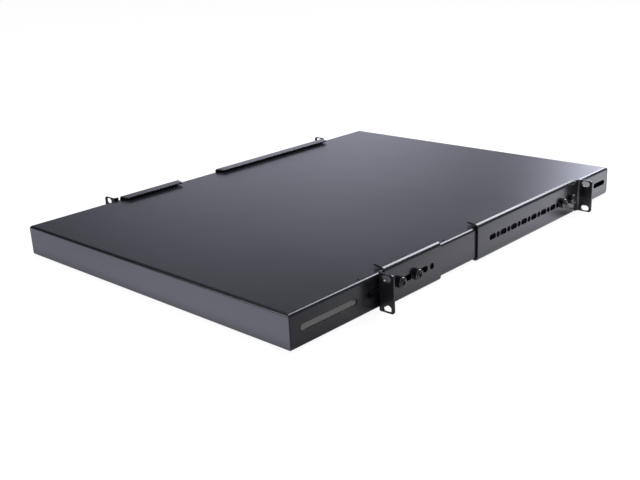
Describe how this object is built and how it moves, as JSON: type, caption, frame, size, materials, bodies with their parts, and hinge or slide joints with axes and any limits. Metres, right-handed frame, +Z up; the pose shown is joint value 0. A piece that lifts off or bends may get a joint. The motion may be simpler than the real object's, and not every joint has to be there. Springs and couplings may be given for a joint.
{
  "type": "adjustable rack shelf",
  "caption": "Flat folded-steel rack shelf whose bent side brackets slide along slots to suit the depth of the rack, with turned-out ears for the posts.",
  "frame": {"origin": "on the ground plane under the middle of the whole shelf, brackets included", "axes": "+X across the rack to the right as seen from the front, +Y to the rear of the rack, +Z up"},
  "size_m": [0.4826, 0.61, 0.0436],
  "materials": {
    "coat": "black powder coat, fine texture, semi-gloss",
    "fastener": "black zinc, satin"
  },
  "bodies": {
    "shelf": {"shelf_pan": "coat", "front_stiffener": "coat", "middle_stiffener": "coat", "rear_stiffener": "coat"},
    "front_right": {"front_right_bracket": "coat", "front_right_screws": "fastener", "front_right_washers": "fastener", "front_right_inner_washers": "fastener", "front_right_nuts": "fastener"},
    "front_left": {"front_left_bracket": "coat", "front_left_screws": "fastener", "front_left_washers": "fastener", "front_left_inner_washers": "fastener", "front_left_nuts": "fastener"},
    "rear_right": {"rear_right_bracket": "coat", "rear_right_screws": "fastener", "rear_right_washers": "fastener", "rear_right_inner_washers": "fastener", "rear_right_nuts": "fastener"},
    "rear_left": {"rear_left_bracket": "coat", "rear_left_screws": "fastener", "rear_left_washers": "fastener", "rear_left_inner_washers": "fastener", "rear_left_nuts": "fastener"}
  },
  "joints": [
    {"name": "front_right_slide", "type": "slide", "parent": "shelf", "child": "front_right", "axis": [0, -1, 0], "range_m": [-0.031, 0.044]},
    {"name": "front_left_slide", "type": "slide", "parent": "shelf", "child": "front_left", "axis": [0, -1, 0], "range_m": [-0.031, 0.044]},
    {"name": "rear_right_slide", "type": "slide", "parent": "shelf", "child": "rear_right", "axis": [0, 1, 0], "range_m": [-0.034, 0.058]},
    {"name": "rear_left_slide", "type": "slide", "parent": "shelf", "child": "rear_left", "axis": [0, 1, 0], "range_m": [-0.034, 0.058]}
  ]
}
